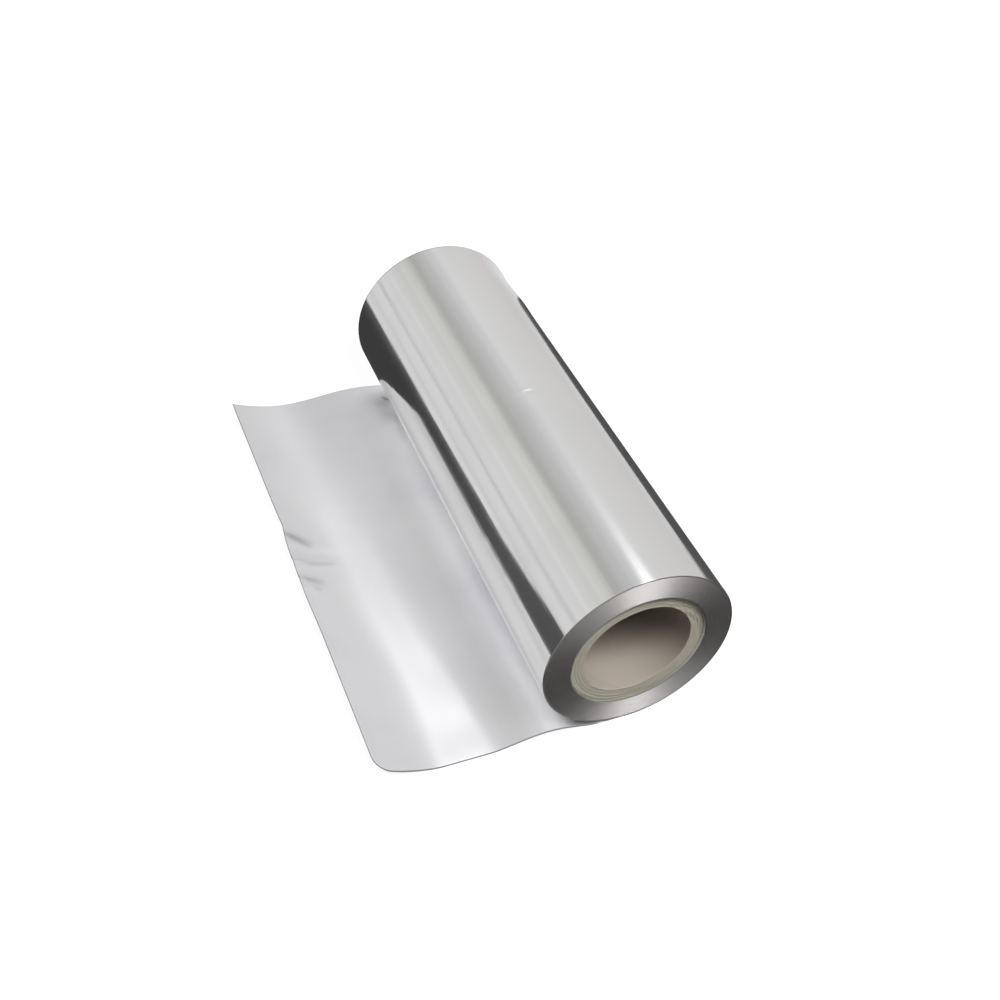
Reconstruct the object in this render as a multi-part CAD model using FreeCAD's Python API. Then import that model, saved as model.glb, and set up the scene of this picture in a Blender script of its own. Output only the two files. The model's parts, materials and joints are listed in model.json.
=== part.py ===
import FreeCAD, Part
import math
import os

from FreeCAD import Vector

# Aluminium foil roll, lying on its side with a length of the foil drawn off.
# Millimetres. The origin is on the core's axis, halfway along the roll.
# +Y runs along the roll, +Z is up, and the foil is drawn off towards -X.
# Two pieces: the paper core, and the foil web, which is one continuous sheet.

# Foil
foil_width = 385.0
roll_radius = 67.0
foil_thickness = 0.3
flat_half_width = 5.0

# Core
core_bore_radius = 38.1
core_wall = 9.3
core_recess = 2.0

# Edges of the turns, which show on both ends of the roll as a shallow spiral
turn_pitch = 3.3
turn_groove_width = 1.4
turn_groove_depth = 0.4
turn_margin = 0.8

# Drawn-off sheet: it lies flat, arches, comes down to the floor and curls up at the cut edge.
# Distances run from the roll's axis towards -X. Near is the -Y edge and far is the +Y edge.
flat_lead = 2.0
sheet_reach = 174.5
arch_height_near = 6.6
arch_height_far = 5.4
arch_end_near = 104.0
arch_end_far = 138.0
curl_start_near = 118.0
curl_start_far = 128.0
curl_height_near = 17.5
curl_height_far = 10.5
near_corner_radius = 11.0

# Folds at the cut edge: where each starts on the edge (y), where it fades out (x, y),
# its height (less than zero is a valley) and its half width
edge_folds = [
    (31.0, (-150.0, 18.0), -1.6, 4.5),
    (21.0, (-139.0, 9.0), 2.0, 5.0),
    (2.0, (-145.0, 0.0), -1.5, 4.0),
    (-9.0, (-147.0, -10.0), 1.8, 5.0),
    (-19.0, (-153.0, -20.0), -1.4, 4.0),
]

# Dent beside the roll, near the far edge
dent_centre = (-47.0, 171.0)
dent_half_width = 6.5
dent_depth = 2.2

# Kinks of the cut edge in plan: y, and how far it is pulled back towards the roll
edge_kinks = [(60.0, -1.2), (40.0, -1.8), (24.0, 0.3), (2.0, 0.8), (-30.0, 1.4), (-70.0, 0.4)]

# Sections that the sheet is lofted through: close together at the folds and the dent, wide elsewhere
close_spacing = 5.0
wide_spacing = 32.0
point_spacing = 7.0
feature_room = 12.0

half_width = foil_width / 2
core_radius = core_bore_radius + core_wall
floor_z = -math.sqrt(roll_radius ** 2 - flat_half_width ** 2)
sheet_top_z = floor_z + foil_thickness
crevice_x = -math.sqrt(roll_radius ** 2 - sheet_top_z ** 2)
lead_x = crevice_x - flat_lead


def between(near, far, y):
    """Value at y that runs evenly from the near edge to the far edge."""
    return near + (far - near) * (y + half_width) / foil_width


def arch(distance, y):
    """Height of the arch between the roll and the line where the sheet comes down."""
    end = between(arch_end_near, arch_end_far, y)
    share = (distance + lead_x) / (end + lead_x)
    if not 0 < share < 1:
        return 0.0
    return between(arch_height_near, arch_height_far, y) * math.sin(math.pi * share) ** 2


def curl(distance, y):
    """Height of the upward curl towards the cut edge."""
    start = between(curl_start_near, curl_start_far, y)
    share = max(0.0, (distance - start) / (sheet_reach - start))
    return between(curl_height_near, curl_height_far, y) * share ** 2


def fold(x, y, edge_y, tip, height, half_size):
    """Height of one fold, a rounded ridge from the cut edge that fades out at its tip."""
    run_x, run_y = tip[0] + sheet_reach, tip[1] - edge_y
    share = ((x + sheet_reach) * run_x + (y - edge_y) * run_y) / (run_x ** 2 + run_y ** 2)
    share = min(max(share, 0.0), 1.0)
    off = math.hypot(x + sheet_reach - share * run_x, y - edge_y - share * run_y)
    return height * (1 - share ** 2) * math.exp(-(off / half_size) ** 2)


def dent(x, y):
    """Depth of the dent beside the roll."""
    off = math.hypot(x - dent_centre[0], y - dent_centre[1])
    return -dent_depth * math.exp(-(off / dent_half_width) ** 2)


def sheet_height(x, y):
    """Height of the drawn-off sheet's underside above the floor."""
    height = arch(-x, y) + curl(-x, y) + dent(x, y)
    height += sum(fold(x, y, *values) for values in edge_folds)
    return max(height, 0.0)


def round_bar(radius, length):
    """Cylinder on the Y axis, centred on the origin."""
    return Part.makeCylinder(radius, length, Vector(0, -length / 2, 0), Vector(0, 1, 0))


def half_turn(radius, centre_x, side):
    """Half a turn about (centre_x, 0), over the top (side 1) or under the bottom (side -1)."""
    ends = [Vector(centre_x - side * radius, 0, 0), Vector(centre_x + side * radius, 0, 0)]
    return Part.Arc(ends[0], Vector(centre_x, 0, side * radius), ends[1]).toShape()


def spiral(start_radius, turns):
    """Spiral of half turns that grows by turn_pitch a turn, the way the foil leaves the roll."""
    arcs = []
    for turn in range(turns):
        radius = start_radius + turn * turn_pitch
        arcs.append(half_turn(radius, 0, 1))
        arcs.append(half_turn(radius + turn_pitch / 2, -turn_pitch / 2, -1))
    return arcs


def turn_groove():
    """Solid of the spiral groove, from the middle of the roll outwards by its depth."""
    inner_radius = core_radius + turn_margin
    room = roll_radius - turn_margin - turn_groove_width - inner_radius
    turns = int(room / turn_pitch)
    inner = spiral(inner_radius, turns)
    outer = spiral(inner_radius + turn_groove_width, turns)
    closing = []
    for radius in (inner_radius, inner_radius + turns * turn_pitch):
        closing.append(Part.makeLine(Vector(-radius, 0, 0), Vector(-radius - turn_groove_width, 0, 0)))
    wire = Part.Wire(Part.__sortEdges__(inner + outer + closing))
    return Part.Face(wire).extrude(Vector(0, turn_groove_depth, 0))


def wound_roll():
    """Wound turns with their flat spot, and the first stretch of sheet, which lies flat."""
    corners = [
        Vector(crevice_x, 0, sheet_top_z),
        Vector(lead_x, 0, sheet_top_z),
        Vector(lead_x, 0, floor_z),
        Vector(flat_half_width, 0, floor_z),
    ]
    edges = [Part.Arc(corners[3], Vector(0, 0, roll_radius), corners[0]).toShape()]
    edges += [Part.makeLine(start, end) for start, end in zip(corners, corners[1:])]
    profile = Part.Face(Part.Wire(Part.__sortEdges__(edges)))
    profile.translate(Vector(0, -half_width, 0))
    roll = profile.extrude(Vector(0, foil_width, 0)).cut(round_bar(core_radius, foil_width))
    groove = turn_groove()
    for y in (-half_width, half_width - turn_groove_depth):
        roll = roll.cut(groove.translated(Vector(0, y, 0)))
    return roll


def spread(start, end, spacing):
    """Evenly spaced values from start to end, no further apart than spacing."""
    count = math.ceil(abs(end - start) / spacing)
    return [start + (end - start) * step / count for step in range(count + 1)]


def edge_pull(y):
    """How far the cut edge is pulled back towards the roll at y."""
    marks = sorted([(-half_width, 0.0)] + edge_kinks + [(half_width, 0.0)])
    for (low_y, low), (high_y, high) in zip(marks, marks[1:]):
        if low_y <= y <= high_y:
            return low + (high - low) * (y - low_y) / (high_y - low_y)
    return 0.0


def section(y):
    """Closed wire of the sheet's thickness at y, from the roll to the cut edge."""
    stations = spread(lead_x, -sheet_reach + edge_pull(y), point_spacing)
    heights = [0.0] + [sheet_height(x, y) for x in stations[1:]]
    curves = []
    for lift in (0.0, foil_thickness):
        curve = Part.BSplineCurve()
        curve.interpolate([Vector(x, y, floor_z + height + lift) for x, height in zip(stations, heights)])
        curves.append(curve)
    low, high = curves
    ends = [Part.makeLine(low.EndPoint, high.EndPoint), Part.makeLine(high.StartPoint, low.StartPoint)]
    high.reverse()
    return Part.Wire([low.toShape(), ends[0], high.toShape(), ends[1]])


def section_places():
    """Places along the roll of the sheet's sections."""
    fold_places = [values[0] for values in edge_folds] + [values[1][1] for values in edge_folds]
    marks = [
        -half_width,
        min(fold_places) - feature_room,
        max(fold_places) + feature_room,
        dent_centre[1] - feature_room,
        half_width,
    ]
    spacings = [wide_spacing, close_spacing, wide_spacing, close_spacing]
    places = [marks[0]]
    for start, end, spacing in zip(marks, marks[1:], spacings):
        places += spread(start, end, spacing)[1:]
    return places


def near_corner():
    """Block that takes the sharp near corner off the cut edge and leaves it round."""
    size = near_corner_radius
    corner = Vector(-sheet_reach, -half_width, -roll_radius)
    block = Part.makeBox(2 * size, 2 * size, roll_radius, corner - Vector(size, size, 0))
    centre = corner + Vector(size, size, 0)
    return block.cut(Part.makeCylinder(size, roll_radius, centre))


def foil_web():
    """The foil: all its wound turns and the drawn-off sheet, in one solid."""
    sections = [section(y) for y in section_places()]
    drawn_sheet = Part.makeLoft(sections, True, True).cut(near_corner())
    return wound_roll().fuse(drawn_sheet)


def paper_core():
    """Paper tube that the foil is wound on, a little shorter than the foil is wide."""
    length = foil_width - 2 * core_recess
    return round_bar(core_radius, length).cut(round_bar(core_bore_radius, length))


def export(name, shape):
    """Write one node and print what it measures."""
    solids = shape.Solids
    shape = solids[0] if len(solids) == 1 else shape
    box = shape.BoundBox
    shape.exportStep("parts/" + name + ".step")
    print(name, "solids", len(solids), "valid", shape.isValid(), "volume", round(shape.Volume),
          "x", round(box.XMin, 2), round(box.XMax, 2), "y", round(box.YMin, 2), round(box.YMax, 2),
          "z", round(box.ZMin, 2), round(box.ZMax, 2))


os.makedirs("parts", exist_ok=True)
export("paper_core", paper_core())
export("foil_web", foil_web())
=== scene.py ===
# %% [markdown]
# # A roll of aluminium foil
# The roll lies on its side. A length of foil is drawn off from under it, arches, comes down to the
# floor and curls up at its cut edge. Bright metal has almost no colour of its own: what we see is
# the room in it. So the lesson has three parts: an exact shape, a finish with the right gloss on
# each side of the foil, and a room for the metal to show.
#
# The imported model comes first. It fixes every size, and this script only reads it.

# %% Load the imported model
import json
import math

import bpy
import numpy as np
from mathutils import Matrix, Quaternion, Vector


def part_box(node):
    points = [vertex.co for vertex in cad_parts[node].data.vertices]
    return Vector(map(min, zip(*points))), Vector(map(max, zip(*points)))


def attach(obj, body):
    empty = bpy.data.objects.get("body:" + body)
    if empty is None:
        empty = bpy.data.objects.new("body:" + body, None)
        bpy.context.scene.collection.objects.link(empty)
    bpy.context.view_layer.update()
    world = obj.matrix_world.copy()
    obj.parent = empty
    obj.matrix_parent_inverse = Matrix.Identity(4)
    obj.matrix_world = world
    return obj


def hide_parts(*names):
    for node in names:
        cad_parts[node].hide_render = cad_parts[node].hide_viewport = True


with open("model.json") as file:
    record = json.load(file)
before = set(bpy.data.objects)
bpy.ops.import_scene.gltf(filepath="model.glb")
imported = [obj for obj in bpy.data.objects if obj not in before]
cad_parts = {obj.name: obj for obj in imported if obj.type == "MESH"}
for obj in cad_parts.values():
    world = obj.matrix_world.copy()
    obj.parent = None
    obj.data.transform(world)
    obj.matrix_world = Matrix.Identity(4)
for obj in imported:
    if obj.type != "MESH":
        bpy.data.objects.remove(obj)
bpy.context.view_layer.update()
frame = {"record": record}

# %% [markdown]
# ## Sizes
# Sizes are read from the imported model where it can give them, in metres. The origin is on the
# core's axis, halfway along the roll. +Y runs along the roll and the foil is drawn off towards -X.

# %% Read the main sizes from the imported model
mm = 0.001
web_low, web_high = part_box("foil_web")
core_low, core_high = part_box("paper_core")
roll_radius = web_high[0]
half_width = web_high[1]
flat_half_width = 5.0 * mm
floor_z = -math.sqrt(roll_radius ** 2 - flat_half_width ** 2)
core_radius = core_high[2]
core_half_length = core_high[1]
bore_radius = frame["record"]["mounts"][0]["dims"]["r_mm"] * mm
foil_thickness = 0.3 * mm
print("roll radius", roll_radius, "half width", half_width)
print("core radius", core_radius, "bore radius", bore_radius)

# %% [markdown]
# ## Camera
# The camera looks down on the roll from the side of the drawn-off sheet, in front of the near end.
# It aims at the line where the roll touches the floor, and is tilted a few degrees about its own
# line of sight. The lens is a short portrait lens, so the far end is drawn clearly smaller.

# %% Place the camera
camera_place = Vector((-0.325, -0.6229, 0.6056))
camera_aim = Vector((0.0, 0.0305, floor_z))
camera_tilt = math.radians(6.57)

camera_data = bpy.data.cameras.new("camera")
camera_data.lens = 45.14
camera_data.sensor_width = 36.0
camera_data.sensor_fit = "HORIZONTAL"
camera = bpy.data.objects.new("camera", camera_data)
bpy.context.scene.collection.objects.link(camera)
camera.location = camera_place
look = (camera_aim - camera_place).to_track_quat("-Z", "Y")
camera.rotation_euler = (look @ Quaternion((0, 0, 1), camera_tilt)).to_euler()
bpy.context.scene.camera = camera
print("camera is", round((camera_aim - camera_place).length, 3), "m from its aim")

# %% [markdown]
# ## Helpers for meshes and nodes
# Every piece is made from lists of points and faces, so one helper turns them into an object. The
# others add a shader node with its inputs already linked or set.

# %% Make an object from points and faces
def make_piece(name, points, faces, materials, face_materials=None, sharp_degrees=35.0):
    mesh = bpy.data.meshes.new(name)
    mesh.from_pydata(np.asarray(points).tolist(), [], faces)
    for material in materials:
        mesh.materials.append(material)
    if face_materials is not None:
        mesh.polygons.foreach_set("material_index", face_materials)
    mesh.update()
    mesh.shade_smooth()
    mesh.set_sharp_from_angle(angle=math.radians(sharp_degrees))
    piece = bpy.data.objects.new(name, mesh)
    bpy.context.scene.collection.objects.link(piece)
    print(name, len(mesh.vertices), "points", len(mesh.polygons), "faces")
    return piece


# %% Add shader nodes in one line each
def add_node(tree, kind, inputs=None, **settings):
    node = tree.nodes.new(kind)
    for name, value in settings.items():
        setattr(node, name, value)
    for key, value in (inputs or {}).items():
        if isinstance(value, bpy.types.NodeSocket):
            tree.links.new(value, node.inputs[key])
        else:
            node.inputs[key].default_value = value
    return node


def math_node(tree, operation, *values):
    inputs = dict(enumerate(values))
    return add_node(tree, "ShaderNodeMath", inputs, operation=operation).outputs[0]


def mix_colors(tree, factor, low, high):
    inputs = {0: factor, 6: low, 7: high}
    return add_node(tree, "ShaderNodeMix", inputs, data_type="RGBA").outputs[2]


def map_range(tree, value, start, end, low=0.0, high=1.0, smooth=True):
    inputs = {0: value, 1: start, 2: end, 3: low, 4: high}
    kind = "SMOOTHSTEP" if smooth else "LINEAR"
    return add_node(tree, "ShaderNodeMapRange", inputs, interpolation_type=kind).outputs[0]


def noise(tree, place, scale, detail, roughness=0.5):
    inputs = {"Vector": place, "Scale": scale, "Detail": detail, "Roughness": roughness}
    return add_node(tree, "ShaderNodeTexNoise", inputs).outputs[0]


def new_material(name):
    material = bpy.data.materials.new(name)
    material.use_nodes = True
    material.node_tree.nodes.clear()
    return material, material.node_tree


def finish_material(tree, shader):
    add_node(tree, "ShaderNodeOutputMaterial", {"Surface": shader.outputs[0]})


# %% [markdown]
# ## Marks that both sides of the foil share
# Real foil is never a perfect mirror. Rolling leaves faint lines, and handling leaves soft dull
# patches. Both sides of the foil show them, so they are one node group with an amount for each
# material: a mask for the dull patches, and a height for the fine marks. The marks follow the foil,
# so the group is given a place on the web, measured along it and across it. Only the roll's ends,
# where the foil is seen edge on, give it a place in space.

# %% Build the group of handling marks
patch_span = (0.4, 0.7)
line_stretch = (1.0, 0.02, 1.0)


def handling_marks_group():
    group = bpy.data.node_groups.new("handling_marks", "ShaderNodeTree")
    group.interface.new_socket(name="Place", in_out="INPUT", socket_type="NodeSocketVector")
    for name, way in (
        ("Patch Scale", "INPUT"),
        ("Line Scale", "INPUT"),
        ("Patch Mask", "OUTPUT"),
        ("Line Height", "OUTPUT"),
    ):
        group.interface.new_socket(name=name, in_out=way, socket_type="NodeSocketFloat")
    start = group.nodes.new("NodeGroupInput")
    end = group.nodes.new("NodeGroupOutput")
    place = start.outputs["Place"]
    patches = noise(group, place, start.outputs["Patch Scale"], detail=3.0)
    stretched = add_node(group, "ShaderNodeMapping", {"Vector": place, "Scale": line_stretch})
    marks = noise(group, stretched.outputs[0], start.outputs["Line Scale"], detail=2.0)
    group.links.new(map_range(group, patches, *patch_span), end.inputs["Patch Mask"])
    group.links.new(marks, end.inputs["Line Height"])
    return group


handling_marks = handling_marks_group()
print(handling_marks.name, len(handling_marks.nodes), "nodes")

# %% [markdown]
# ## Foil materials
# One side of the foil ran against polished steel in the mill and is bright; the other ran against
# a second sheet and is satin. The roll shows its bright side and the drawn-off sheet its satin
# side, which spreads part of the light widely. Where the sheet was pinched it stays dull and grey,
# and along its creases and in its dimple that grey is also painted shade. The amount is stored on
# its points. On the roll's ends and round their rims we see the edges of about a thousand turns:
# each is a fine groove that runs round the axis, so the ends stretch every reflection towards and
# away from the axis.

# %% Build a foil material
patch_scale = 14.0
line_scale = 160.0
line_depth = 0.2 * mm
patch_dulling = 0.05
# grey that the pinch marks mix in: dull creased foil, and painted shade along the creases and in
# the dimple
pinch_dull_and_shade_grey = (0.35, 0.35, 0.35, 1)
pinch_dulling = 0.2
groove_stretch = 0.75
quarter_turn = 0.25


def foil_material(
    name, color, worn_color, roughness, line_strength, metallic=1.0, turned=False, dulled_and_shaded=False
):
    material, tree = new_material(name)
    marks = tree.nodes.new("ShaderNodeGroup")
    marks.node_tree = handling_marks
    marks.inputs["Patch Scale"].default_value = patch_scale
    marks.inputs["Line Scale"].default_value = line_scale
    if turned:
        place = tree.nodes.new("ShaderNodeTexCoord").outputs["Object"]
    else:
        place = add_node(tree, "ShaderNodeAttribute", attribute_name="web_place").outputs["Vector"]
    tree.links.new(place, marks.inputs["Place"])
    mask, height = marks.outputs["Patch Mask"], marks.outputs["Line Height"]
    tint = mix_colors(tree, mask, color, worn_color)
    gloss = math_node(tree, "MULTIPLY_ADD", mask, patch_dulling, roughness)
    if dulled_and_shaded:
        # painted shade: the stored pinch amount greys the colour along the creases and in the
        # dimple, besides dulling it
        crease_dulling_and_shade = add_node(tree, "ShaderNodeAttribute", attribute_name="crease_dulling_and_shade").outputs["Fac"]
        tint = mix_colors(tree, crease_dulling_and_shade, tint, pinch_dull_and_shade_grey)
        gloss = math_node(tree, "MULTIPLY_ADD", crease_dulling_and_shade, pinch_dulling, gloss)
    relief = {"Height": height, "Strength": line_strength, "Distance": line_depth}
    bump = add_node(tree, "ShaderNodeBump", relief)
    shader = add_node(
        tree,
        "ShaderNodeBsdfPrincipled",
        {"Base Color": tint, "Metallic": metallic, "Roughness": gloss, "Normal": bump.outputs[0]},
    )
    if turned:
        shader.inputs["Anisotropic"].default_value = groove_stretch
        shader.inputs["Anisotropic Rotation"].default_value = quarter_turn
        around = add_node(tree, "ShaderNodeTangent", direction_type="RADIAL", axis="Y")
        tree.links.new(around.outputs[0], shader.inputs["Tangent"])
    finish_material(tree, shader)
    return material


bright_foil = foil_material(
    "bright_foil", (0.92, 0.92, 0.92, 1), (0.90, 0.90, 0.90, 1), 0.10, line_strength=0.5
)
satin_foil = foil_material(
    "satin_foil",
    (0.905, 0.90, 0.92, 1),
    (0.87, 0.862, 0.895, 1),
    0.33,
    line_strength=0.2,
    metallic=0.92,
    dulled_and_shaded=True,
)
foil_edges = foil_material(
    "foil_edges",
    (0.565, 0.55, 0.545, 1),
    (0.505, 0.49, 0.485, 1),
    0.72,
    line_strength=0.05,
    turned=True,
)

# %% [markdown]
# ## The height of the drawn-off sheet
# The sheet leaves the roll flat on the floor, rises in a low arch, comes down again and curls up at
# the cut edge. The same rule as in the imported model gives its height, with the near and far edges
# blended along the roll. Foil doesn't stretch, so a pinch at the cut edge leaves straight creases
# with flat facets between them: each is a small tent whose two sides have different widths, and it
# runs out towards its tip. The dimple beside the roll is a soft hollow. All of them are added on
# top. Folds this shallow shade themselves less than the real ones, and foil that was pinched loses
# its shine. So a second list holds dull, darkened lines and spots over the creases and the dimple:
# partly the lost shine, and partly painted shade in place of the shade the folds don't cast. The
# satin finish reads them from the sheet's points.

# %% Arch and curl
sheet_reach = 174.5 * mm
arch_height = (6.6 * mm, 5.4 * mm)
arch_end = (104.0 * mm, 138.0 * mm)
curl_start = (118.0 * mm, 128.0 * mm)
curl_height = (17.5 * mm, 10.5 * mm)
flat_lead = 2.0 * mm
sheet_top_z = floor_z + foil_thickness
crevice_x = -math.sqrt(roll_radius ** 2 - sheet_top_z ** 2)
lead_x = crevice_x - flat_lead


def along_roll(pair, y):
    share = (y + half_width) / (2 * half_width)
    return pair[0] + (pair[1] - pair[0]) * share


def arch(x, y):
    share = np.clip((lead_x - x) / (along_roll(arch_end, y) + lead_x), 0.0, 1.0)
    return along_roll(arch_height, y) * np.sin(np.pi * share) ** 2


def curl(x, y):
    start = along_roll(curl_start, y)
    share = np.clip((-x - start) / (sheet_reach - start), 0.0, None)
    return along_roll(curl_height, y) * share ** 2


# %% Creases, dimple, and dull marks with painted shade
# start x and y, tip x and y, height, width on the far side and on the near side, in mm
edge_creases = [
    (-175.0, 27.0, -153.0, 13.0, 1.5, 6.5, 20.0),
    (-175.0, 14.0, -137.0, 7.0, -1.0, 14.0, 12.0),
    (-175.5, 1.0, -139.0, -2.0, 0.9, 3.0, 11.0),
    (-176.0, -19.0, -153.0, -22.0, 1.1, 4.5, 16.0),
    (-175.0, -27.0, -163.0, -28.5, 0.4, 3.0, 8.0),
]
crease_round = 0.5 * mm
crease_taper = 0.7
dimple_place = (-45.4 * mm, 176.5 * mm)
dimples = [(3.6 * mm, 2.0 * mm), (10.0 * mm, 1.6 * mm)]
# start x and y, tip x and y, how dull and how dark with painted shade, half width
dull_and_shaded_lines = [
    (-174.0, 30.5, -154.5, 18.5, 0.50, 4.8),
    (-168.0, -1.6, -143.0, -0.8, 0.26, 2.2),
    (-173.0, -18.0, -156.0, -20.5, 0.33, 4.0),
    (-168.0, -26.0, -160.0, -28.0, 0.20, 2.8),
]
# place x and y, size, how dull and how dark with painted shade
dull_and_shaded_spots = [
    (-47.2, 175.5, 3.4, 0.85),
    (-52.0, 166.0, 8.5, 0.36),
    (-53.0, 150.0, 9.0, 0.36),
]
mark_start, mark_rise, mark_end_power = 0.35, 3.0, 4


def from_line(x, y, start_x, start_y, tip_x, tip_y):
    run_x, run_y = (tip_x - start_x) * mm, (tip_y - start_y) * mm
    run = math.hypot(run_x, run_y)
    off_x, off_y = x - start_x * mm, y - start_y * mm
    share = np.clip((off_x * run_x + off_y * run_y) / run ** 2, 0.0, 1.0)
    side = (off_y * run_x - off_x * run_y) / run
    apart = np.hypot(off_x - share * run_x, off_y - share * run_y)
    return share, side, apart


def crease(x, y, *values):
    *line, height, far_width, near_width = values
    share, side, _ = from_line(x, y, *line)
    width = np.where(side > 0, far_width, near_width) * mm * (1.0 - crease_taper * share)
    reach = np.sqrt(side ** 2 + crease_round ** 2) - crease_round
    return height * mm * (1.0 - share) * np.clip(1.0 - reach / width, 0.0, 1.0)


def dimple(x, y):
    off = np.hypot(x - dimple_place[0], y - dimple_place[1])
    return -sum(depth * np.exp(-(off / size) ** 2) for size, depth in dimples)


# how dull, and how darkened by painted shade, each point of the sheet is
def crease_dulling_and_shade(x, y):
    amount = np.zeros(len(x))
    for spot_x, spot_y, size, most in dull_and_shaded_spots:
        off = np.hypot(x - spot_x * mm, y - spot_y * mm) / (size * mm)
        amount = amount + most * np.exp(-off ** 2)
    for *line, most, half_size in dull_and_shaded_lines:
        share, _, apart = from_line(x, y, *line)
        along = np.clip(mark_start + mark_rise * share, 0.0, 1.0) * (1.0 - share ** mark_end_power)
        amount = amount + most * along * np.exp(-(apart / (half_size * mm)) ** 2)
    return np.clip(amount, 0.0, 1.0)


# %% [markdown]
# Between the folds the sheet has slow buckles, a few tenths of a millimetre high. Its own weight
# holds it on the floor, so where the sum would go below, it is eased to just above. The near edge
# doesn't quite come down: a thin dark line of shadow shows under it.

# %% Buckles and the whole height
# height in mm, turn per metre along x and along y, start
sheet_waves = [(0.30, 52, 17, 0.7), (0.22, 31, -38, 2.1), (0.10, 95, 61, 4.0)]
buckle_start = 20.0 * mm
ease_start = 50.0 * mm
fade_length = 30.0 * mm
edge_lift = 0.8 * mm
lift_reach = 20.0 * mm
floor_ease = 0.65 * mm


def fade_in(x, start):
    return np.clip((-x - start) / fade_length, 0.0, 1.0)


def buckles(x, y):
    waves = sum(
        size * np.sin(along * x + across * y + phase)
        for size, along, across, phase in sheet_waves
    )
    return waves * mm * fade_in(x, buckle_start)


def sheet_height(x, y):
    height = arch(x, y) + curl(x, y) + dimple(x, y) + buckles(x, y)
    for values in edge_creases:
        height = height + crease(x, y, *values)
    away = fade_in(x, ease_start)
    lift = edge_lift * math.exp(-((y + half_width) / lift_reach) ** 2) * away
    lying = 0.5 * (height + np.hypot(height, floor_ease * away))
    return np.hypot(lying, lift)


# %% [markdown]
# ## The foil web as one closed skin
# The real foil is one piece from the core to the cut edge, so its skin is one closed mesh. Each
# section across the roll is a loop of points: round the outside of the turns, over the top of the
# sheet, round the cut edge and back along its underside. The sections are close together where the
# foil is folded and wide apart elsewhere.

# %% Places of the sections along the roll
near_corner_radius = 11.0 * mm
rim_radius = 0.35 * mm
rim_insets = [0.0, 0.3 * rim_radius, rim_radius]
corner_shares = (0.06, 0.1, 0.15, 0.22, 0.3, 0.4, 0.52, 0.66, 0.82)
folds_start, folds_end = -40 * mm, 42 * mm
dimple_start = 150 * mm
far_rim_start = half_width - 2 * mm
stretches = [
    (-half_width + near_corner_radius, folds_start, 4.5 * mm),
    (folds_start, folds_end, 1.3 * mm),
    (folds_end, dimple_start, 5.0 * mm),
    (dimple_start, far_rim_start, 2.0 * mm),
    (far_rim_start, half_width - rim_radius, 1.0 * mm),
]


def evenly(start, end, step):
    count = max(1, math.ceil((end - start) / step - 1e-9))
    return [start + (end - start) * i / count for i in range(count)]


def section_places():
    places = [-half_width + inset for inset in rim_insets]
    places += [-half_width + near_corner_radius * share for share in corner_shares]
    for stretch in stretches:
        places += evenly(*stretch)
    places += [half_width - inset for inset in reversed(rim_insets)]
    return np.array(places)


sections = section_places()
print(len(sections), "sections, smallest step", np.diff(sections).min())

# %% [markdown]
# The cut edge is not quite straight: it is pulled back a little at the folds, and its near corner
# is rounded. The edge's place is worked out for each section.

# %% Where the sheet ends at each section
# place along the roll and how far the edge is pulled out, in mm
edge_kinks = [
    (-half_width / mm, 0.0),
    (-70, 0.4),
    (-30, 1.4),
    (2, 0.8),
    (24, 0.3),
    (40, -1.8),
    (60, -1.2),
    (half_width / mm, 0.0),
]
kink_places, kink_pulls = np.transpose(edge_kinks)


def sheet_end(y):
    end = -sheet_reach - np.interp(y / mm, kink_places, kink_pulls) * mm
    inside = y + half_width
    if inside < near_corner_radius:
        rise = near_corner_radius - inside
        end += near_corner_radius - math.sqrt(max(near_corner_radius ** 2 - rise ** 2, 0.0))
    return end


# %% [markdown]
# The wound turns are nearly round, with a narrow flat where the roll's weight presses on the floor.
# The outer turn is not perfect: slow waves a few hundredths of a millimetre deep bend the
# reflections a little, as they do on the real roll. One small nick on its top catches the light,
# and the outer turns are pressed in a little at the far rim, with a low swell beside the hollow.

# %% The outer turn and its small faults
turn_count = 320
start_angle = math.atan2(floor_z, flat_half_width)
end_angle = math.atan2(sheet_top_z, crevice_x) + 2 * math.pi
turn_angles = np.linspace(start_angle, end_angle, turn_count)
# depth in mm, waves round the roll, turn per metre along it, start
roll_waves = [(0.020, 3, 9.0, 0.6), (0.012, 7, -21.0, 0.0), (0.006, 16, 31.0, 2.0)]
wave_fade = 0.5
nick_angle = math.radians(92.6)
nick_y = -1.3 * mm
nick_around, nick_along = 8.0 * mm, 2.0 * mm
nick_depth = 0.305 * mm
press_angle, press_spread = math.radians(26), 0.5
# place along the roll, size and rise, in mm
press_bands = [(139.0, 12.0, 0.35), (172.0, 16.0, -1.0)]
rim_fade = 0.3


def fade_at_floor(angle, length):
    start = np.clip((angle - start_angle) / length, 0, 1)
    return start * np.clip((end_angle - angle) / length, 0, 1)


def turn_waves(angle, y):
    deepest = sum(size for size, *wave in roll_waves)
    waves = sum(
        size * np.sin(around * angle + along * y + phase)
        for size, around, along, phase in roll_waves
    )
    return (waves - deepest) * mm * fade_at_floor(angle, wave_fade)


def nick(angle, y):
    around = (angle - nick_angle) * roll_radius / nick_around
    along = (y - nick_y) / nick_along
    return -nick_depth * np.exp(-around ** 2 - along ** 2)


def pressed_rim(angle, y):
    around = np.exp(-((angle - press_angle) / press_spread) ** 2)
    along = sum(
        rise * math.exp(-((y - place * mm) / (size * mm)) ** 2)
        for place, size, rise in press_bands
    )
    return along * mm * around


def rim_inset(y):
    depth = rim_radius - (half_width - abs(y))
    if depth <= 0:
        return 0.0
    return rim_radius - math.sqrt(max(rim_radius ** 2 - depth ** 2, 0.0))


def around_axis(radius, angle, y):
    radius, angle, y = np.broadcast_arrays(radius, angle, y)
    return np.stack([radius * np.cos(angle), y, radius * np.sin(angle)], 1)


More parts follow.
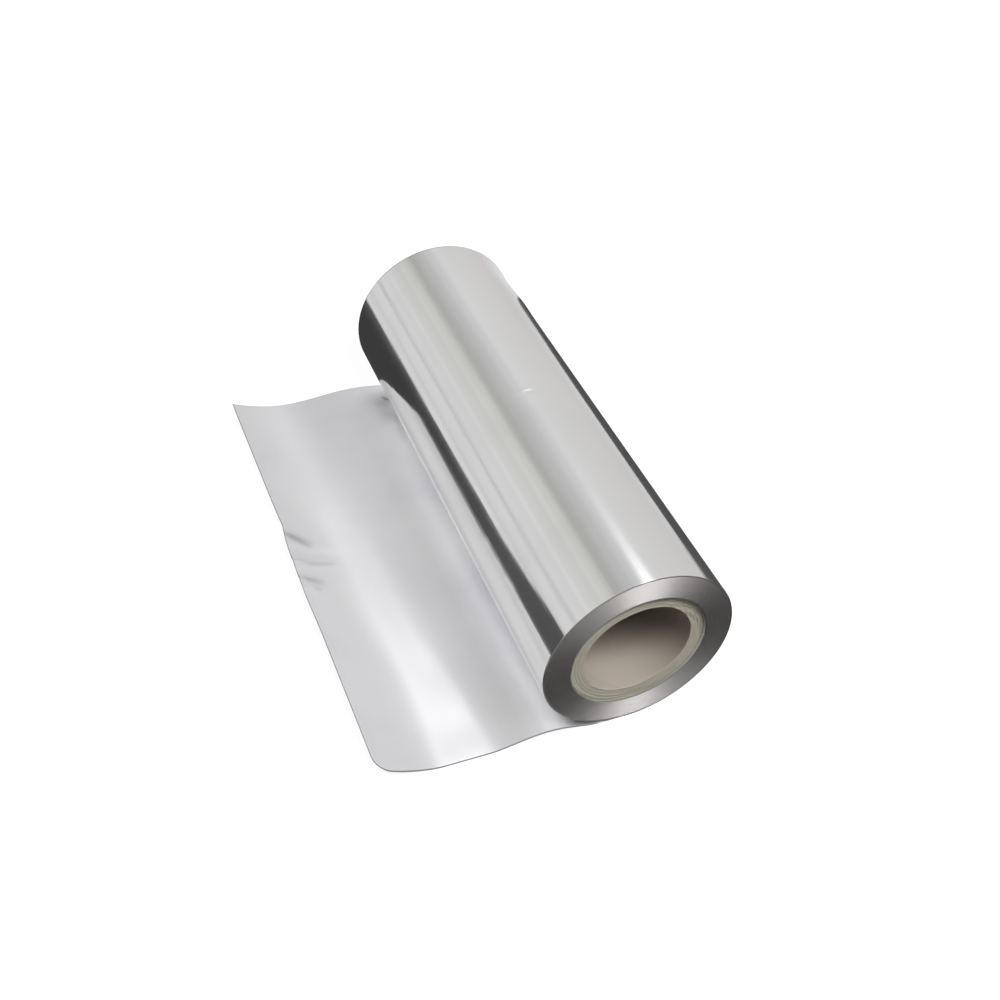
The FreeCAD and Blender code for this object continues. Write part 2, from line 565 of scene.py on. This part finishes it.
# %% [markdown]
# The knives that cut the foil left a fine burr, so the outermost half millimetre of the sheet bends
# down where it is off the floor. The points stand close together there, and along the curl and the
# folds, and further apart beside the roll.

# %% One section's loop
sheet_count = 112
fine_share = 0.27
fine_count = 46
fine_end = 2.0 * mm
edge_steps = np.array([1.2, 0.8, 0.5, 0.3, 0.15, 0.0]) * mm
flat_places = np.array([-1.0, -0.5, 0.0, 0.5]) * flat_half_width
burr_drop = 0.9 * mm
burr_width = 0.5 * mm


def line_at(x, y, z):
    x, y, z = np.broadcast_arrays(x, y, z)
    return np.stack([x, y, z], 1)


def edge_burr(x, y, rise):
    inside = np.minimum(x - sheet_end(y), half_width - abs(y))
    lifted = np.clip(rise / edge_lift, 0.0, 1.0)
    return -burr_drop * lifted * (1 - np.clip(inside / burr_width, 0.0, 1.0)) ** 2


def section_loop(y):
    radius = roll_radius + turn_waves(turn_angles, y) + nick(turn_angles, y)
    radius = radius + pressed_rim(turn_angles, y)
    radius = radius - rim_inset(y) * fade_at_floor(turn_angles, rim_fade)
    turns = around_axis(radius, turn_angles, y)
    turns[0] = (flat_half_width, y, floor_z)
    turns[-1] = (crevice_x, y, sheet_top_z)
    end = sheet_end(y)
    fine_x = end + fine_share * (lead_x - end)
    coarse_count = sheet_count - len(edge_steps) - fine_count
    sheet_x = np.concatenate(
        [
            np.linspace(lead_x, fine_x, coarse_count, endpoint=False),
            np.linspace(fine_x, end + fine_end, fine_count),
            end + edge_steps,
        ]
    )
    rise = sheet_height(sheet_x, y)
    rise = np.maximum(rise + edge_burr(sheet_x, y, rise), 0.0)
    over = line_at(sheet_x, y, sheet_top_z + rise)
    under = line_at(sheet_x, y, floor_z + rise)[::-1]
    return np.concatenate([turns, over, under, line_at(flat_places, y, floor_z)])


# %% Join the sections into the skin
bright_slot, satin_slot, edge_slot = 0, 1, 2
rim_start = half_width - 1.01 * rim_radius
loops = [section_loop(y) for y in sections]
loop_size = len(loops[0])
column = np.arange(loop_size)
next_column = (column + 1) % loop_size
column_slots = np.full(loop_size, bright_slot)
column_slots[turn_count - 1:turn_count + sheet_count - 1] = satin_slot


def four_sided(first, second, third, fourth, turned_over=False):
    faces = np.stack([first, second, third, fourth], 1)
    return (faces[:, ::-1] if turned_over else faces).tolist()


skin_faces = []
skin_slots = []
for row in range(len(sections) - 1):
    a, b = row * loop_size + column, row * loop_size + next_column
    skin_faces += four_sided(a, a + loop_size, b + loop_size, b)
    row_slots = column_slots.copy()
    if abs(sections[row:row + 2]).min() > rim_start:
        row_slots[:turn_count - 1] = edge_slot
    skin_slots += row_slots.tolist()
print(loop_size, "points in each section")

# %% [markdown]
# ## The ends of the roll
# Each end is a flat ring from the outer turn in to the core, and a thin strip where the sheet is
# cut off. The hole's wall joins the two rings, so the skin is closed and could be printed. The ring
# is set in a little behind the rim, to make room for the edges of the turns.

# %% Close the ends and the hole
ring_inset = 0.12 * mm
ring_steps = [(0.985, 0.0), (0.97, ring_inset), (0.5, ring_inset), (0.03, ring_inset), (0.0, 0.0)]
flat_columns = np.arange(loop_size - len(flat_places), loop_size)
ring_columns = np.concatenate([np.arange(turn_count), flat_columns])
ring_size = len(ring_columns)


def ring_points(loop, side, radius_share, depth):
    outer = loop[ring_columns]
    angle = np.arctan2(outer[:, 2], outer[:, 0])
    reach = np.hypot(outer[:, 0], outer[:, 2])
    radius = core_radius + (reach - core_radius) * radius_share
    return around_axis(radius, angle, side * (half_width - depth))


def add_band(faces, slots, first, second, side, slot):
    following = np.roll(np.arange(ring_size), -1)
    faces += four_sided(first, first[following], second[following], second, side > 0)
    slots += [slot] * ring_size


def add_end(points, faces, slots, first_point, side):
    loop = loops[0] if side < 0 else loops[-1]
    previous = first_point + ring_columns
    for share, depth in ring_steps:
        start = sum(len(block) for block in points)
        points.append(ring_points(loop, side, share, depth))
        current = start + np.arange(ring_size)
        add_band(faces, slots, previous, current, side, edge_slot)
        previous = current
    sheet_start = first_point + turn_count
    over = sheet_start + np.arange(-1, sheet_count)
    under = sheet_start + 2 * sheet_count - np.arange(sheet_count + 1)
    strip = four_sided(over[:-1], over[1:], under[1:], under[:-1], side > 0)
    faces += strip
    slots += [edge_slot] * len(strip)
    return previous


blocks = [np.concatenate(loops)]
near_hole = add_end(blocks, skin_faces, skin_slots, 0, -1)
far_hole = add_end(blocks, skin_faces, skin_slots, (len(sections) - 1) * loop_size, 1)
add_band(skin_faces, skin_slots, near_hole, far_hole, -1, bright_slot)
skin_points = np.concatenate(blocks)
foil_web = make_piece(
    "foil_web_skin", skin_points, skin_faces, [bright_foil, satin_foil, foil_edges], skin_slots
)

# %% Store each point's place on the web, and how much it was pinched: dulled and darkened with painted shade
dulled_and_shaded = np.zeros(len(skin_points))
for row in range(len(loops)):
    first = row * loop_size + turn_count
    sheet = slice(first, first + 2 * sheet_count)
    dulled_and_shaded[sheet] = crease_dulling_and_shade(skin_points[sheet, 0], skin_points[sheet, 1])
dull_and_shade_layer = foil_web.data.attributes.new("crease_dulling_and_shade", "FLOAT", "POINT")
dull_and_shade_layer.data.foreach_set("value", dulled_and_shaded)
print("most pinched", round(dulled_and_shaded.max(), 2))

web_place = np.zeros_like(skin_points)
for row, loop in enumerate(loops):
    steps = np.hypot(np.diff(loop[:, 0]), np.diff(loop[:, 2]))
    start = row * loop_size
    web_place[start:start + loop_size, 0] = np.concatenate([[0.0], np.cumsum(steps)])
    web_place[start:start + loop_size, 1] = loop[:, 1]
place_layer = foil_web.data.attributes.new("web_place", "FLOAT_VECTOR", "POINT")
place_layer.data.foreach_set("vector", web_place.ravel())

# %% [markdown]
# ## The edges of the turns
# On each end the foil's edge runs round and round from the core to the outer turn. Geometry Nodes
# suits what follows a path: a spiral curve is swept with a round profile, pressed flat, and set on
# the end of the roll. A thousand turns would be far too fine to see, so each ridge stands for about
# sixty of them.

# %% Build the tree that winds the turns
spiral_resolution = 120
ridge_sides = 8
turn_edge_inputs = {
    "Turns": 17.0,
    "Inner Radius": core_radius + 0.7 * mm,
    "Outer Radius": roll_radius - 1.0 * mm,
    "Ridge Radius": 0.56 * mm,
    "Ridge Height": 0.14 * mm,
    "End": half_width,
}


def transform(tree, geometry, **change):
    return add_node(tree, "GeometryNodeTransform", {"Geometry": geometry, **change}).outputs[0]


def turn_edges_tree():
    tree = bpy.data.node_groups.new("wind_turn_edges", "GeometryNodeTree")
    for name in turn_edge_inputs:
        tree.interface.new_socket(name=name, in_out="INPUT", socket_type="NodeSocketFloat")
    tree.interface.new_socket(name="Geometry", in_out="OUTPUT", socket_type="NodeSocketGeometry")
    values = tree.nodes.new("NodeGroupInput").outputs
    end = tree.nodes.new("NodeGroupOutput")
    spiral = add_node(
        tree,
        "GeometryNodeCurveSpiral",
        {
            "Resolution": spiral_resolution,
            "Rotations": values["Turns"],
            "Start Radius": values["Inner Radius"],
            "End Radius": values["Outer Radius"],
            "Height": 0.0,
        },
    )
    outline = {"Resolution": ridge_sides, "Radius": values["Ridge Radius"]}
    profile = add_node(tree, "GeometryNodeCurvePrimitiveCircle", outline)
    ridge = add_node(
        tree,
        "GeometryNodeCurveToMesh",
        {"Curve": spiral.outputs[0], "Profile Curve": profile.outputs[0], "Fill Caps": True},
    )
    upright = transform(tree, ridge.outputs[0], Rotation=(math.pi / 2, 0.0, 0.0))
    press = math_node(tree, "DIVIDE", values["Ridge Height"], values["Ridge Radius"])
    scale = add_node(tree, "ShaderNodeCombineXYZ", {0: 1.0, 1: press, 2: 1.0})
    pressed = transform(tree, upright, Scale=scale.outputs[0])
    ridge_place = math_node(tree, "SUBTRACT", values["End"], values["Ridge Height"])
    both = tree.nodes.new("GeometryNodeJoinGeometry")
    for sign in (-1.0, 1.0):
        end_place = math_node(tree, "MULTIPLY", ridge_place, sign)
        place = add_node(tree, "ShaderNodeCombineXYZ", {1: end_place})
        tree.links.new(transform(tree, pressed, Translation=place.outputs[0]), both.inputs[0])
    real = add_node(tree, "GeometryNodeRealizeInstances", {0: both.outputs[0]})
    finish = add_node(tree, "GeometryNodeSetMaterial", {0: real.outputs[0], "Material": foil_edges})
    tree.links.new(finish.outputs[0], end.inputs[0])
    return tree


# %% Wind the turns and keep the result as a plain mesh
fine_sharp_degrees = 50.0


def apply_tree(name, tree, values, material):
    piece = bpy.data.objects.new(name, bpy.data.meshes.new(name))
    bpy.context.scene.collection.objects.link(piece)
    modifier = piece.modifiers.new("tree", "NODES")
    modifier.node_group = tree
    for item in tree.interface.items_tree:
        if item.in_out == "INPUT":
            modifier[item.identifier] = values[item.name]
    view = piece.evaluated_get(bpy.context.evaluated_depsgraph_get())
    mesh = bpy.data.meshes.new_from_object(view)
    piece.modifiers.clear()
    piece.data = mesh
    mesh.materials.clear()
    mesh.materials.append(material)
    mesh.shade_smooth()
    mesh.set_sharp_from_angle(angle=math.radians(fine_sharp_degrees))
    print(name, len(mesh.vertices), "points", len(mesh.polygons), "faces")
    return piece


turn_edges = apply_tree("turn_edges", turn_edges_tree(), turn_edge_inputs, foil_edges)

# %% [markdown]
# ## The paper core
# The core is wound from strips of paperboard. Its cut ends show the plies as fine rings that stand
# a little proud of each other, and the saw leaves the edge slightly ragged. A revolved grid of
# points makes it: a profile in radius and depth, with the depth nudged from ply to ply and round
# the ring. The seeded noise is the same on every run.

# %% Build the core's profile and its plies
core_gap = 0.02 * mm
ply_count = 11
ply_shares = (0.12, 0.5, 0.88)
ply_mean, ply_spread = 0.22, 0.09
ply_shallowest, ply_deepest = 0.02 * mm, 1.1 * mm
ragged_waves = [(0.06, 2), (0.04, 5), (0.03, 11), (0.02, 23)]
torn_angle, torn_spread = math.radians(38), 0.55
plain_wall_end = core_half_length - 1.2 * mm
chance = np.random.default_rng(7)
ply_rise = chance.uniform(-1.0, 1.0, ply_count)
ply_phase = chance.uniform(0, 2 * math.pi, (ply_count, 4))
core_outer = core_radius - core_gap
ply_step = (core_outer - bore_radius) / ply_count


def ply_depth(ply, angle):
    ragged = sum(
        size * np.sin(beat * angle + phase)
        for (size, beat), phase in zip(ragged_waves, ply_phase[ply])
    )
    torn = np.exp(-((angle - torn_angle) / torn_spread) ** 2)
    torn = torn * (0.15 + 0.2 * np.sin(13 * angle + ply) + 0.14 * np.sin(31 * angle - 2 * ply))
    return (ply_mean + ply_spread * ply_rise[ply] + ragged + torn) * mm


def core_profile(angle):
    rows = [(bore_radius, plain_wall_end)]
    for ply in range(ply_count):
        inner = bore_radius + ply * ply_step
        y = core_half_length - np.clip(ply_depth(ply, angle), ply_shallowest, ply_deepest)
        rows += [(inner + share * ply_step, y) for share in ply_shares]
    rows.append((core_outer, plain_wall_end))
    return rows


# %% Revolve the core
core_columns = 224
bore_ring_count = 12
bore_reach = core_half_length - 1.5 * mm
core_angles = np.linspace(-math.pi, math.pi, core_columns, endpoint=False)
far_rows = [around_axis(radius, core_angles, y) for radius, y in core_profile(core_angles)]
near_rows = [row * np.array([1.0, -1.0, 1.0]) for row in reversed(far_rows)]
bore_places = np.linspace(-1, 1, bore_ring_count + 2)[1:-1] * bore_reach
bore_rows = [around_axis(bore_radius, core_angles, y) for y in bore_places]
core_loops = near_rows + bore_rows + far_rows
core_points = np.concatenate(core_loops)
core_faces = []
left = np.arange(core_columns)
right = (left + 1) % core_columns
for row in range(len(core_loops)):
    start, following = row * core_columns, (row + 1) % len(core_loops) * core_columns
    core_faces += four_sided(start + left, following + left, following + right, start + right)

# %% [markdown]
# Paperboard is matt. Its plies show on the cut end as thin rings, a little lighter and darker in
# turn, and short fibres give it a fine grain. Inside the bore the strips meet along a helix.

# %% Build the paperboard material
blotch_colors = [(0.245, 0.23, 0.18, 1), (0.315, 0.287, 0.232, 1)]
lining_color = (0.32, 0.275, 0.23, 1)
fibre_color, fibre_share = (0.42, 0.40, 0.34, 1), 0.25
ply_line_color, ply_line_share = (0.13, 0.12, 0.095, 1), 0.35
seam_color, seam_share = (0.13, 0.11, 0.085, 1), 0.45
lining_depth = 0.15 * mm
helix_pitch = 110.0 * mm
ply_line_width, seam_width = 0.12, 0.004
fibre_relief = {"Strength": 0.4, "Distance": 0.2 * mm}
paper_roughness, fibre_roughness = 0.7, 0.2


def paperboard_material():
    material, tree = new_material("paperboard")
    place = tree.nodes.new("ShaderNodeTexCoord").outputs["Object"]
    x, y, z = add_node(tree, "ShaderNodeSeparateXYZ", {0: place}).outputs
    squares = [math_node(tree, "MULTIPLY", part, part) for part in (x, z)]
    radius = math_node(tree, "SQRT", math_node(tree, "ADD", *squares))
    ply = math_node(tree, "DIVIDE", math_node(tree, "SUBTRACT", radius, bore_radius), ply_step)
    ring = math_node(tree, "PINGPONG", ply, 0.5)
    ply_line = map_range(tree, ring, 0.0, ply_line_width, 1.0, 0.0, smooth=False)
    around = math_node(tree, "DIVIDE", math_node(tree, "ARCTAN2", z, x), 2 * math.pi)
    helix = math_node(tree, "ADD", around, math_node(tree, "DIVIDE", y, helix_pitch))
    seam = math_node(tree, "PINGPONG", helix, 0.5)
    seam_line = map_range(tree, seam, 0.0, seam_width, 1.0, 0.0, smooth=False)
    lining = math_node(tree, "LESS_THAN", radius, bore_radius + lining_depth)
    bore_seam = math_node(tree, "MULTIPLY", seam_line, lining)
    fibres = noise(tree, place, 900.0, detail=4.0, roughness=0.7)
    color = mix_colors(tree, noise(tree, place, 60.0, detail=3.0), *blotch_colors)
    for mask, share, top_color in (
        (lining, 1.0, lining_color),
        (fibres, fibre_share, fibre_color),
        (ply_line, ply_line_share, ply_line_color),
        (bore_seam, seam_share, seam_color),
    ):
        color = mix_colors(tree, math_node(tree, "MULTIPLY", mask, share), color, top_color)
    bump = add_node(tree, "ShaderNodeBump", {"Height": fibres, **fibre_relief})
    rough = math_node(tree, "MULTIPLY_ADD", fibres, fibre_roughness, paper_roughness)
    surface = {"Base Color": color, "Roughness": rough, "Normal": bump.outputs[0]}
    finish_material(tree, add_node(tree, "ShaderNodeBsdfPrincipled", surface))
    return material


paperboard = paperboard_material()
core_tube = make_piece(
    "core_tube", core_points, core_faces, [paperboard], sharp_degrees=fine_sharp_degrees
)

# %% [markdown]
# ## The floor
# The floor is plain and pale, and for the camera it glows just enough to reach white where the
# light is full. The shadow of the roll stays on it as a soft grey. Far from the roll the lamps no
# longer reach it, so its glow rises to plain white there and no edge shows against the room.
#
# Light Path tells a material how often the light has been mirrored on its way. Between the sheet
# and the roll above it the reflections came out darker than the real ones, so what is seen by way
# of a second mirror is lifted, here, in the card and in the room. That is a painter's help, not
# physics.

# %% Lay the floor
plain_white = (1, 1, 1, 1)
floor_grey = (0.20, 0.20, 0.20, 1)
floor_reach = 4.0
floor_drop = 0.05 * mm
floor_shown = (0.7, 2.4, 0.84, 1.0)
floor_in_metal, floor_lift = 0.46, 0.14
gain_slope, gain_start = 1.25, -0.05


def plane(name, outline, z, material):
    mesh = bpy.data.meshes.new(name)
    mesh.from_pydata([(x, y, z) for x, y in outline], [], [tuple(range(len(outline)))])
    mesh.materials.append(material)
    sheet = bpy.data.objects.new(name, mesh)
    bpy.context.scene.collection.objects.link(sheet)
    return sheet


def mirrored(tree, times):
    depth = tree.nodes.new("ShaderNodeLightPath").outputs["Glossy Depth"]
    return math_node(tree, "GREATER_THAN", depth, times - 0.5)


def floor_material():
    material, tree = new_material("pale_floor")
    light_path = tree.nodes.new("ShaderNodeLightPath").outputs
    seen = math_node(tree, "ADD", light_path["Is Camera Ray"], light_path["Is Transmission Ray"])
    cover = add_node(tree, "ShaderNodeBsdfDiffuse", {"Color": floor_grey})
    place = tree.nodes.new("ShaderNodeTexCoord").outputs["Object"]
    apart = add_node(tree, "ShaderNodeVectorMath", {0: place}, operation="LENGTH")
    shown = map_range(tree, apart.outputs["Value"], *floor_shown)
    far_gain = math_node(tree, "MULTIPLY_ADD", shown, gain_slope, gain_start)
    pale = math_node(tree, "MULTIPLY_ADD", mirrored(tree, 2), floor_lift, floor_in_metal)
    metal_sees = math_node(tree, "MULTIPLY", light_path["Is Glossy Ray"], pale)
    metal_sees = math_node(tree, "MULTIPLY", metal_sees, far_gain)
    strength = math_node(tree, "MULTIPLY_ADD", seen, shown, metal_sees)
    glow = add_node(tree, "ShaderNodeEmission", {"Color": plain_white, "Strength": strength})
    both = add_node(tree, "ShaderNodeAddShader", {0: cover.outputs[0], 1: glow.outputs[0]})
    finish_material(tree, both)
    return material


floor_outline = [
    (floor_reach * x, floor_reach * y) for x, y in ((-1, -1), (1, -1), (1, 1), (-1, 1))
]
floor = plane("floor", floor_outline, floor_z - floor_drop, floor_material())

# %% [markdown]
# ## The table in the metal
# Polished metal shows what is under and around it. Where the roll faces down, the real one shows a
# dark table top that ends a little way off, and the dark part of the room that the camera stands
# in. A dark card just above the floor stands in for both: only the reflections see it. The card's
# grey is emitted, and it is darker round a point beside the roll: a painted shadow of the roll on
# the table. Light that comes by way of a second mirror, from the sheet to the roll and down, finds
# the card pale.

# %% Cut the dark card to shape
card_outline = [
    (0.80, -2.5),
    (0.80, 0.22),
    (0.75, 0.29),
    (0.62, 0.36),
    (0.50, 0.44),
    (0.34, 0.48),
    (0.14, 0.295),
    (0.05, 0.26),
    (0.00, 0.30),
    (0.00, 0.80),
    (-0.34, 0.95),
    (-0.41, 0.60),
    (-0.46, 0.45),
    (-0.53, 0.29),
    (-0.90, 0.49),
    (-1.60, 0.97),
    (-3.90, 2.52),
    (-3.90, -2.5),
]
# the card's painted shadow is darkest at this point and fades out to its plain grey
card_shadow_middle = (-0.12, 0.30, floor_z)
card_grey_and_shadow = (0.08, 0.28, 0.045, 0.082)
card_lift = 0.62
card_rise = 0.02 * mm


def card_material():
    material, tree = new_material("dark_card")
    place = tree.nodes.new("ShaderNodeTexCoord").outputs["Object"]
    apart = add_node(
        tree, "ShaderNodeVectorMath", {0: place, 1: card_shadow_middle}, operation="DISTANCE"
    )
    # painted shadow: the emitted grey is darker near the middle point, lighter further off
    grey = map_range(tree, apart.outputs["Value"], *card_grey_and_shadow, smooth=False)
    strength = math_node(tree, "MULTIPLY_ADD", mirrored(tree, 2), card_lift, grey)
    shader = add_node(tree, "ShaderNodeEmission", {"Color": plain_white, "Strength": strength})
    finish_material(tree, shader)
    return material


card = plane("dark_card", card_outline, floor_z + card_rise, card_material())
for kind in ("camera", "diffuse", "shadow", "transmission", "volume_scatter"):
    setattr(card, "visible_" + kind, False)

# %% [markdown]
# ## The room and its light
# The room is a soft grey studio. Walls and ceiling are nearly even, with a darker strip above the
# roll, a bright lamp panel beside it, a thin seam in one wall, and a dark wall beyond the far end.
# The roll is a long mirror, so the room's brightness is written as a band of greys that turns about
# the roll's own direction. What changes along that direction is a list of four numbers: where the
# change starts and ends, from 0 square to the roll to 1 straight along it, and the values there.
# Dull surfaces get only a share of the room as fill, because the lamps light them too.

# %% Build the room
room_greys = [
    (0.0, (0.625, 0.600, 0.595)),
    (20.0, (0.645, 0.635, 0.630)),
    (50.0, (0.675, 0.670, 0.665)),
    (68.0, (0.700, 0.700, 0.700)),
    (75.0, (0.625, 0.625, 0.630)),
    (81.0, (0.605, 0.605, 0.610)),
    (87.0, (0.530, 0.530, 0.535)),
    (95.0, (0.505, 0.505, 0.500)),
    (101.0, (0.450, 0.455, 0.440)),
    (106.0, (0.430, 0.435, 0.415)),
    (110.0, (0.520, 0.525, 0.500)),
    (114.0, (0.600, 0.605, 0.575)),
    (119.0, (0.625, 0.629, 0.597)),
    (123.0, (0.665, 0.669, 0.645)),
    (127.0, (0.610, 0.613, 0.595)),
    (135.0, (0.650, 0.650, 0.640)),
    (139.5, (0.665, 0.665, 0.660)),
    (142.5, (0.725, 0.725, 0.720)),
    (146.5, (0.665, 0.665, 0.665)),
    (156.0, (0.685, 0.685, 0.685)),
    (159.0, (0.700, 0.700, 0.700)),
    (161.5, (0.570, 0.570, 0.570)),
    (163.0, (0.525, 0.525, 0.525)),
    (165.0, (0.610, 0.610, 0.610)),
    (168.0, (0.710, 0.710, 0.710)),
    (172.0, (0.680, 0.680, 0.680)),
    (180.0, (0.675, 0.675, 0.675)),
]
panel_middle = (0.50, 0.57, 72.5, 69.5)
panel_full_size = (0.49, 0.57, 0.5, 3.0)
panel_half_size = (0.49, 0.57, 13.5, 7.5)
panel_end = (0.535, 0.632, 1.0, 0.0)
panel_glow = (0.44, 0.60, 2.6, 1.12)
panel_dimmed = (0.10, 0.38, 0.48, 1.0)
far_wall_share = (0.79, 0.91, 0.0, 0.75)
far_wall_grey = (0.10, 0.10, 0.10, 1)
half_turn = 180.0
fill_share = 0.4
second_lift, third_lift = 0.05, 0.5


def room_color(tree, turn):
    ramp = add_node(tree, "ShaderNodeValToRGB", {0: turn})
    stops = ramp.color_ramp.elements
    for index, (degrees, grey) in enumerate(room_greys):
        place = degrees / half_turn
        stop = stops[index] if index < 2 else stops.new(place)
        stop.position = place
        stop.color = (*grey, 1.0)
    return ramp.outputs[0]


def panel_mask(tree, turn, along):
    degrees = math_node(tree, "MULTIPLY", turn, half_turn)
    middle = map_range(tree, along, *panel_middle)
    off = math_node(tree, "ABSOLUTE", math_node(tree, "SUBTRACT", degrees, middle))
    full_size = map_range(tree, along, *panel_full_size, smooth=False)
    half_size = map_range(tree, along, *panel_half_size, smooth=False)
    across = map_range(tree, off, full_size, half_size, 1.0, 0.0)
    return math_node(tree, "MULTIPLY", across, map_range(tree, along, *panel_end))


def build_room():
    world = bpy.data.worlds.new("room")
    world.use_nodes = True
    bpy.context.scene.world = world
    tree = world.node_tree
    tree.nodes.clear()
    direction = tree.nodes.new("ShaderNodeTexCoord").outputs["Generated"]
    x, along, z = add_node(tree, "ShaderNodeSeparateXYZ", {0: direction}).outputs
    turn = math_node(tree, "DIVIDE", math_node(tree, "ARCTAN2", z, x), math.pi)
    far_wall = map_range(tree, along, *far_wall_share)
    color = mix_colors(tree, far_wall, room_color(tree, turn), far_wall_grey)
    panel = math_node(
        tree, "MULTIPLY", map_range(tree, along, *panel_glow), map_range(tree, along, *panel_dimmed)
    )
    color = mix_colors(tree, panel_mask(tree, turn, along), color, panel)
    metal_sees = math_node(
        tree, "MULTIPLY_ADD", mirrored(tree, 2), second_lift, 1.0 - fill_share
    )
    metal_sees = math_node(tree, "MULTIPLY_ADD", mirrored(tree, 3), third_lift, metal_sees)
    light_path = tree.nodes.new("ShaderNodeLightPath").outputs
    strength = math_node(tree, "MULTIPLY_ADD", light_path["Is Glossy Ray"], metal_sees, fill_share)
    background = add_node(tree, "ShaderNodeBackground", {"Color": color, "Strength": strength})
    white = add_node(tree, "ShaderNodeBackground", {"Color": plain_white, "Strength": 1.0})
    shown = add_node(
        tree,
        "ShaderNodeMixShader",
        {0: light_path["Is Camera Ray"], 1: background.outputs[0], 2: white.outputs[0]},
    )
    add_node(tree, "ShaderNodeOutputWorld", {"Surface": shown.outputs[0]})
    return world


room = build_room()
print(room.name, len(room_greys), "greys round the roll")

# %% [markdown]
# Four soft lamps light the roll. One stands above and in front of the near end: it lights the mouth
# of the core and leaves its depth dark. A wide one beside it lies as a broad streak across the
# turned end, and one behind does the same for the far end. Light linking gives these two to the
# roll's ends alone, because the smooth foil beside them would only glare. The last lamp stands on
# the side of the drawn-off sheet and lights it where the roll shades it.

# %% Hang the lamps
def hang_lamp(name, place, aim, energy, width, height):
    data = bpy.data.lights.new(name, "AREA")
    data.shape = "RECTANGLE"
    data.size = width
    data.size_y = height
    data.energy = energy
    lamp = bpy.data.objects.new(name, data)
    bpy.context.scene.collection.objects.link(lamp)
    lamp.location = place
    lamp.rotation_euler = (Vector(aim) - Vector(place)).to_track_quat("-Z", "Y").to_euler()
    return lamp


near_end = (0.0, -half_width, 0.0)
far_end = (0.0, half_width, 0.0)
roll_ends = bpy.data.collections.new("roll_ends")
roll_ends.objects.link(turn_edges)
roll_ends.objects.link(core_tube)
front_lamp = hang_lamp("front_lamp", (0.20, -0.88, 1.41), near_end, 40.0, 0.9, 0.5)
front_lamp.visible_glossy = False
streak_lamp = hang_lamp("streak_lamp", (0.62, -0.88, 1.38), near_end, 45.0, 2.0, 0.5)
streak_lamp.visible_diffuse = False
back_lamp = hang_lamp("back_lamp", (0.20, 1.05, 1.30), far_end, 34.0, 1.4, 0.5)
for lamp in (streak_lamp, back_lamp):
    lamp.light_linking.receiver_collection = roll_ends
side_lamp = hang_lamp("side_lamp", (-1.0, 0.1, 1.0), (-0.08, 0.0, floor_z), 13.5, 0.8, 0.8)
side_lamp.visible_glossy = False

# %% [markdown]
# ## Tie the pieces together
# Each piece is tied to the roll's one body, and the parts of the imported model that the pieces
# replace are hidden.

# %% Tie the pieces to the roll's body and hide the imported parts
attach(foil_web, "root")
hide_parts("foil_web")
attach(turn_edges, "root")
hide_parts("foil_web")
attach(core_tube, "root")
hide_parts("paper_core")

bpy.context.scene.view_settings.view_transform = "Standard"
